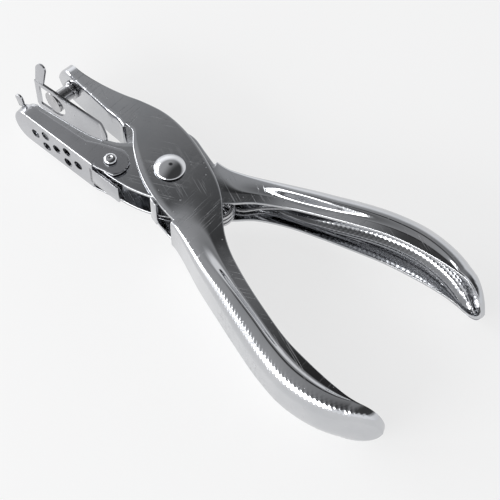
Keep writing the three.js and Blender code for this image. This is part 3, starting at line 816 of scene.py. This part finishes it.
def round_wire(name, path, radius, finish, sides=14):
    """A round wire along a path, with slightly narrowed ends."""
    vertices, faces = [], []
    up = Vector((0, 0, 1))
    last = len(path) - 1
    for i, p in enumerate(path):
        ahead = Vector(path[min(i + 1, last)]) - Vector(path[max(i - 1, 0)])
        across = ahead.cross(up).normalized()
        rise = across.cross(ahead).normalized()
        shrink = 0.85 if i in (0, last) else 1
        for k in range(sides):
            a = 2 * math.pi * k / sides
            spoke = across * math.cos(a) + rise * math.sin(a)
            vertices.append(Vector(p) + spoke * radius * shrink)
    for i in range(last):
        for k in range(sides):
            a, b = i * sides + k, i * sides + (k + 1) % sides
            faces.append((a, b, b + sides, a + sides))
    faces.append(list(range(sides)))
    faces.append(list(range(last * sides, (last + 1) * sides)))
    return piece(name, vertices, faces, finish, 50)


def make_spring():
    points = spring_points()
    path = [spline(points, t) for t in np.linspace(0, 1, 420)]
    return round_wire("torsion_spring_wire", path, WIRE / 2, WIRE_STEEL)


# ---- Stripper and tray

def tab(name, start, end, width):
    """A round-ended tab of thin sheet in the XZ plane at Y = 0, from a start to an end point."""
    length = math.hypot(end[0] - start[0], end[1] - start[1])
    angle = math.atan2(end[1] - start[1], end[0] - start[0])
    r = width / 2
    outline = [(0, -r * 0.8), (length - r, -r)] + arc(length - r, 0, r, -90, 90, 20)[1:-1]
    outline += [(length - r, r), (0, r * 0.8)]
    corners = [turned(p, angle) for p in outline]
    placed = [(start[0] + p[0], start[1] + p[1]) for p in corners]
    return prism(name, placed, -THIN_SHEET / 2, THIN_SHEET / 2, SHEET_CHROME, "XZ")


def moved(target, offset, tilt=0):
    """Tilts a piece about X and moves it by an offset in millimetres."""
    transform = Matrix.Translation(Vector(offset) * MM) @ Matrix.Rotation(tilt, 4, "X")
    target.data.transform(transform)
    return target


def stripper_level(x):
    return STRIPPER_TOP + (DIE_X - x) * math.tan(STRIPPER_TILT)


def make_stripper():
    """A thin plate over the die, with a window for the punch, a rounded corner and a guide ear."""
    front = stripper_level(STRIPPER_FRONT)
    rear = (STRIPPER_REAR, stripper_level(STRIPPER_REAR))
    top = [(STRIPPER_FRONT, front)]
    top += [tuple(p) for p in smooth_line([rear, (-22.2, 1.35), (-20.6, 0.5), (-18.9, -0.6)], 6)]
    under = [(x, y - THIN_SHEET) for x, y in top]
    made = prism("stripper_sheet", top + under[::-1], MID - STRIPPER_HALF, MID + STRIPPER_HALF, SHEET_CHROME)
    half = STRIPPER_HALF - RAIL
    inner_front = STRIPPER_FRONT + RAIL
    window = [(inner_front, MID + half), (inner_front, MID - half)] + arc(DIE_X + 0.6, MID, half, -90, 90, 36)
    cut(made, prism("window", window, 0, 6, plane="XZ"))
    edge = MID - STRIPPER_HALF
    r = STRIPPER_CORNER
    corner = arc(STRIPPER_FRONT + r, edge + r, r, 180, 270, 10) + [(STRIPPER_FRONT - 0.5, edge - 0.5)]
    cut(made, prism("corner", corner, 0, 6, plane="XZ"))
    ear = tab("ear", (0, -0.6), (0, 5.6), 3)
    moved(ear, (STRIPPER_FRONT + 1.6, front - THIN_SHEET / 2, MID + STRIPPER_HALF), math.radians(-14))
    join(made, ear)
    return soften(made, THIN_EDGE, 55, 2, clamp=True)


def make_stripper_neck():
    """A strap down between the lower arm's plates, with a lug on each tray rivet."""
    half = LOWER_INNER - FIT
    top = [(-19.3, -0.32), (-18.9, -0.6), (-16, -2.0), (-12.6, -3.9)]
    under = [(x, y - THIN_SHEET * 1.1) for x, y in top]
    strap = prism("stripper_neck", top + under[::-1], MID - half, MID + half, SHEET_CHROME)
    lug = [(-15.8, -2.6)] + arc(*TRAY_RIVET, LUG_RADIUS, 180, 360, 24) + [(-12.6, -4.2)]
    for low in (MID - half, MID + half - THIN_SHEET):
        join(strap, prism("lug", lug, low, low + THIN_SHEET, SHEET_CHROME))
    drill(strap, (*TRAY_RIVET, 0), (0, 0, 1), TRAY_RIVET_HOLE, 0, 14)
    return soften(strap, 0.07, 55, 2)


def tray_floor(x):
    return TRAY_BOTTOM + TRAY_SLOPE * (x - DIE_X)


def tray_flap():
    """Top and bottom lines of the tray's side, each as (x, y) points from front to back."""
    nose = DIE_X - TRAY_HALF
    lobe = (TRAY_RIVET[0] + 0.4, TRAY_RIVET[1], TRAY_LOBE)
    top = [(nose - 1, -4.1), (-22, -5.1)]
    start, bend, stop = np.array((-22, -5.1)), np.array((-18.6, -3.5)), np.array((lobe[0], lobe[1] + lobe[2]))
    for t in np.linspace(0, 1, 17)[1:]:
        top.append(tuple(start * (1 - t) ** 2 + bend * 2 * t * (1 - t) + stop * t * t))
    top += arc(*lobe, 90, 0, 30)[1:]
    bottom = [(TRAY_FLOOR_END, tray_floor(TRAY_FLOOR_END)), (TRAY_RIVET[0] + 2.9, TRAY_RIVET[1] - 3.25)]
    bottom += arc(*lobe, -50.4, 0, 20)[1:]
    return np.array(top), np.array(bottom)


def tray_stations(lobe_end):
    """Places (x, half width, way inwards) round the nose, then along the straight side."""
    places = []
    for angle in np.radians(np.linspace(180, 90, 31)):
        c, s = math.cos(angle), math.sin(angle)
        places.append((DIE_X + TRAY_HALF * c, TRAY_HALF * s, (-c, -s)))
    straight = list(np.arange(DIE_X + 0.6, TRAY_FLOOR_END - 0.3, 0.6)) + [TRAY_FLOOR_END]
    reach = lobe_end - TRAY_FLOOR_END
    lobe = [lobe_end - reach * (1 - math.sin(t)) for t in np.linspace(0, math.pi / 2, 27)[1:]]
    return places + [(x, TRAY_HALF, (0, -1)) for x in straight + lobe]


def tray_line(x, half, inward, top, bottom):
    """Points down the wall and, where there is a floor, round the fold and in to the middle."""
    high = float(np.interp(x, top[:, 0], top[:, 1]))
    down = np.linspace(0, 1, 9)
    if x > TRAY_FLOOR_END:
        low = float(np.interp(x, bottom[:, 0], bottom[:, 1]))
        return [(x, mix(high, low, t), half) for t in down]
    line = [(x, mix(high, tray_floor(x) + TRAY_FOLD, t), half) for t in down]
    for t in np.linspace(0, math.pi / 2, 9)[1:]:
        inset = TRAY_FOLD * (1 - math.cos(t))
        px = x + inward[0] * inset
        line.append((px, tray_floor(px) + TRAY_FOLD * (1 - math.sin(t)), half + inward[1] * inset))
    for t in np.linspace(TRAY_FOLD, TRAY_HALF, 9)[1:]:
        px = x + inward[0] * t
        line.append((px, tray_floor(px), half + inward[1] * t))
    return line


def mirrored_grid(lines):
    """Vertices and faces of a surface given by half its lines, mirrored about the middle."""
    vertices, faces = [], []
    for sign in (1, -1):
        starts = []
        for line in lines:
            starts.append(len(vertices))
            vertices += [(x, y, MID + sign * z) for x, y, z in line]
        for k in range(len(lines) - 1):
            count = min(len(lines[k]), len(lines[k + 1]))
            for j in range(count - 1):
                a, b = starts[k] + j, starts[k + 1] + j
                quad = [a, a + 1, b + 1, b]
                faces.append(quad if sign > 0 else quad[::-1])
    return vertices, faces


def make_tray():
    """Folded sheet: side walls and a round nose stand up from a sloping floor."""
    top, bottom = tray_flap()
    lines = [tray_line(*place_at, top, bottom) for place_at in tray_stations(top[-1][0])]
    vertices, faces = mirrored_grid(lines)
    made = piece("chip_tray_sheet", vertices, faces, SHEET_CHROME, None)
    shell(made, THIN_SHEET, (-25, -7, MID + TRAY_HALF))
    for step, across in VENT_PLACES:
        x = DIE_X + VENT_FROM_DIE + step * VENT_PITCH
        level = tray_floor(x)
        drill(made, (x, 0, MID + across * VENT_ACROSS), (0, 1, 0), VENT_DIAMETER, level - 2, level + 1.6)
    drill(made, (*TRAY_RIVET, 0), (0, 0, 1), TRAY_RIVET_HOLE, -2, 16)
    made.data.shade_smooth()
    made.data.set_sharp_from_angle(angle=math.radians(35))
    return made


def make_tray_ear():
    ear = tab("tray_ear", (0, 0), (-0.9, 3.8), 2.2)
    moved(ear, (DIE_X - TRAY_HALF + 0.9, -4.7, MID + 2.9))
    return soften(ear, THIN_EDGE, 55, 2)


def make_tray_tongue():
    """The narrower rear end of the floor, between the lower arm's plates."""
    root = TRAY_FLOOR_END - 1
    half = LOWER_INNER - FIT
    strip = [(root, tray_floor(root)), (TONGUE_END, tray_floor(TONGUE_END)),
             (TONGUE_END, tray_floor(TONGUE_END) + THIN_SHEET), (root, tray_floor(root) + THIN_SHEET)]
    tongue = prism("tray_tongue", strip, MID - half, MID + half, SHEET_CHROME)
    return soften(tongue, 0.08, 55, 2)


# ---- Assembly

def place(piece_object, body, slot, *nodes):
    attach(piece_object, body)
    if nodes:
        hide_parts(*nodes)
    return piece_object


upper = make_upper_arm()
stop_tab = make_stop()
place(upper, "punch_arm", "arm_chrome", "upper_arm")
place(stop_tab, "punch_arm", "arm_chrome")
place(make_lower_arm(), "die_arm", "arm_chrome", "lower_arm")
place(make_pivot_rivet(), "die_arm", "rivet_chrome", "pivot_rivet")
place(make_pivot_spacer(), "die_arm", "tool_steel", "pivot_spacer")
place(make_punch_pin(), "punch_arm", "tool_steel", "punch_pin")
place(make_tray_rivet("tray_rivet_near_turned", 1), "die_arm", "rivet_chrome", "tray_rivet_near")
place(make_tray_rivet("tray_rivet_far_turned", -1), "die_arm", "rivet_chrome", "tray_rivet_far")
window_plate = make_stripper()
neck_strap = make_stripper_neck()
place(window_plate, "die_arm", "thin_sheet", "stripper")
place(neck_strap, "die_arm", "thin_sheet")
tray = make_tray()
tray_ear = make_tray_ear()
tray_tongue = make_tray_tongue()
place(tray, "tray", "thin_sheet", "chip_tray")
place(tray_tongue, "tray", "thin_sheet")
place(tray_ear, "tray", "thin_sheet")
spring = make_spring()
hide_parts("torsion_spring")
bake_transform(spring)


# ---- Stage, light and camera

FLOOR_GLOW = 0.72
FLOOR_GREY = 0.25
FLOOR_HALF = 1500
FLOOR_DROP = 0.0001
CEILING_DARK = 0.06
CEILING_RISE = 0.38
FLAG_SHADE = 0.9
LOW_LIGHT = 0.95
FRONT_LIGHT = 0.15
PANEL_LIGHT = 0.4
AZIMUTH = math.radians(35.5)
ELEVATION = math.radians(57)
AIM = Vector((0.0255, -0.0023, 0.0018))
DISTANCE = 0.4
SENSOR_WIDTH = 36
FOCAL_LENGTH = 118.7


def make_floor():
    made, look = material("pale floor")
    glow = look.node("ShaderNodeEmission", None, {"Color": (1, 1, 1, 1), "Strength": FLOOR_GLOW})
    matt = look.node("ShaderNodeBsdfDiffuse", None, {"Color": (FLOOR_GREY, FLOOR_GREY, FLOOR_GREY, 1)})
    both = look.node("ShaderNodeAddShader", None, {0: glow, 1: matt})
    look.node("ShaderNodeOutputMaterial", None, {"Surface": both})
    half = FLOOR_HALF
    corners = [(-half, -half, 0), (half, -half, 0), (half, half, 0), (-half, half, 0)]
    floor = piece("floor", corners, [(0, 1, 2, 3)], made, None)
    floor.location.z = -FLOOR_DROP


def make_world():
    """A pale room, bright low down all round, under a ceiling that darkens to the right.

    A brighter panel stands on the left, and a small dark flag hangs high behind.
    """
    world = bpy.data.worlds.new("studio")
    SCENE.world = world
    world.use_nodes = True
    look = Look(world.node_tree)
    way = look.node("ShaderNodeTexCoord", out="Generated")
    side, depth, height = look.axes(way)
    flag = Vector((-0.25, 0.41, 0.88)).normalized()
    toward = look.node("ShaderNodeVectorMath", {"operation": "DOT_PRODUCT"}, {0: way, 1: flag}, out=1)
    shade = look.step(toward, 0.976, 0.9985)
    low = look.step(height, 0.6, 0.25)
    front = look.step(depth, 0.1, -0.6)
    panel = look.step(side, -0.25, -0.75) * look.step(height, 0.62, 0.45)
    ceiling = (CEILING_DARK + look.step(side, 0.35, -0.6) * CEILING_RISE) * (1 - shade * FLAG_SHADE)
    light = ceiling * (1 - low) + low * LOW_LIGHT + low * front * FRONT_LIGHT + panel * PANEL_LIGHT
    back = look.node("ShaderNodeBackground", None, {"Color": (0.97, 0.98, 1, 1), "Strength": light})
    look.node("ShaderNodeOutputWorld", None, {"Surface": back})


def soft_light(name, where, aim, size, power):
    lamp = bpy.data.lights.new(name, "AREA")
    lamp.shape = "RECTANGLE"
    lamp.size, lamp.size_y = size
    lamp.energy = power
    made = bpy.data.objects.new(name, lamp)
    SCENE.collection.objects.link(made)
    made.location = where
    made.rotation_euler = (Vector(aim) - Vector(where)).to_track_quat("-Z", "Y").to_euler()


def make_camera():
    lens = bpy.data.cameras.new("camera")
    lens.sensor_width = SENSOR_WIDTH
    lens.lens = FOCAL_LENGTH
    lens.clip_start = 0.01
    made = bpy.data.objects.new("camera", lens)
    SCENE.collection.objects.link(made)
    back = Vector((math.sin(AZIMUTH) * math.cos(ELEVATION), -math.cos(AZIMUTH) * math.cos(ELEVATION),
                   math.sin(ELEVATION)))
    made.location = AIM + back * DISTANCE
    made.rotation_euler = back.to_track_quat("Z", "Y").to_euler()
    SCENE.camera = made


make_floor()
make_world()
soft_light("front softbox", where=(-0.25, -0.8, 0.28), aim=(0.02, 0, 0), size=(0.8, 0.3), power=6)
soft_light("left softbox", where=(-0.85, -0.2, 0.3), aim=(0, 0, 0), size=(0.7, 0.3), power=5)
make_camera()
SCENE.view_settings.view_transform = "Standard"
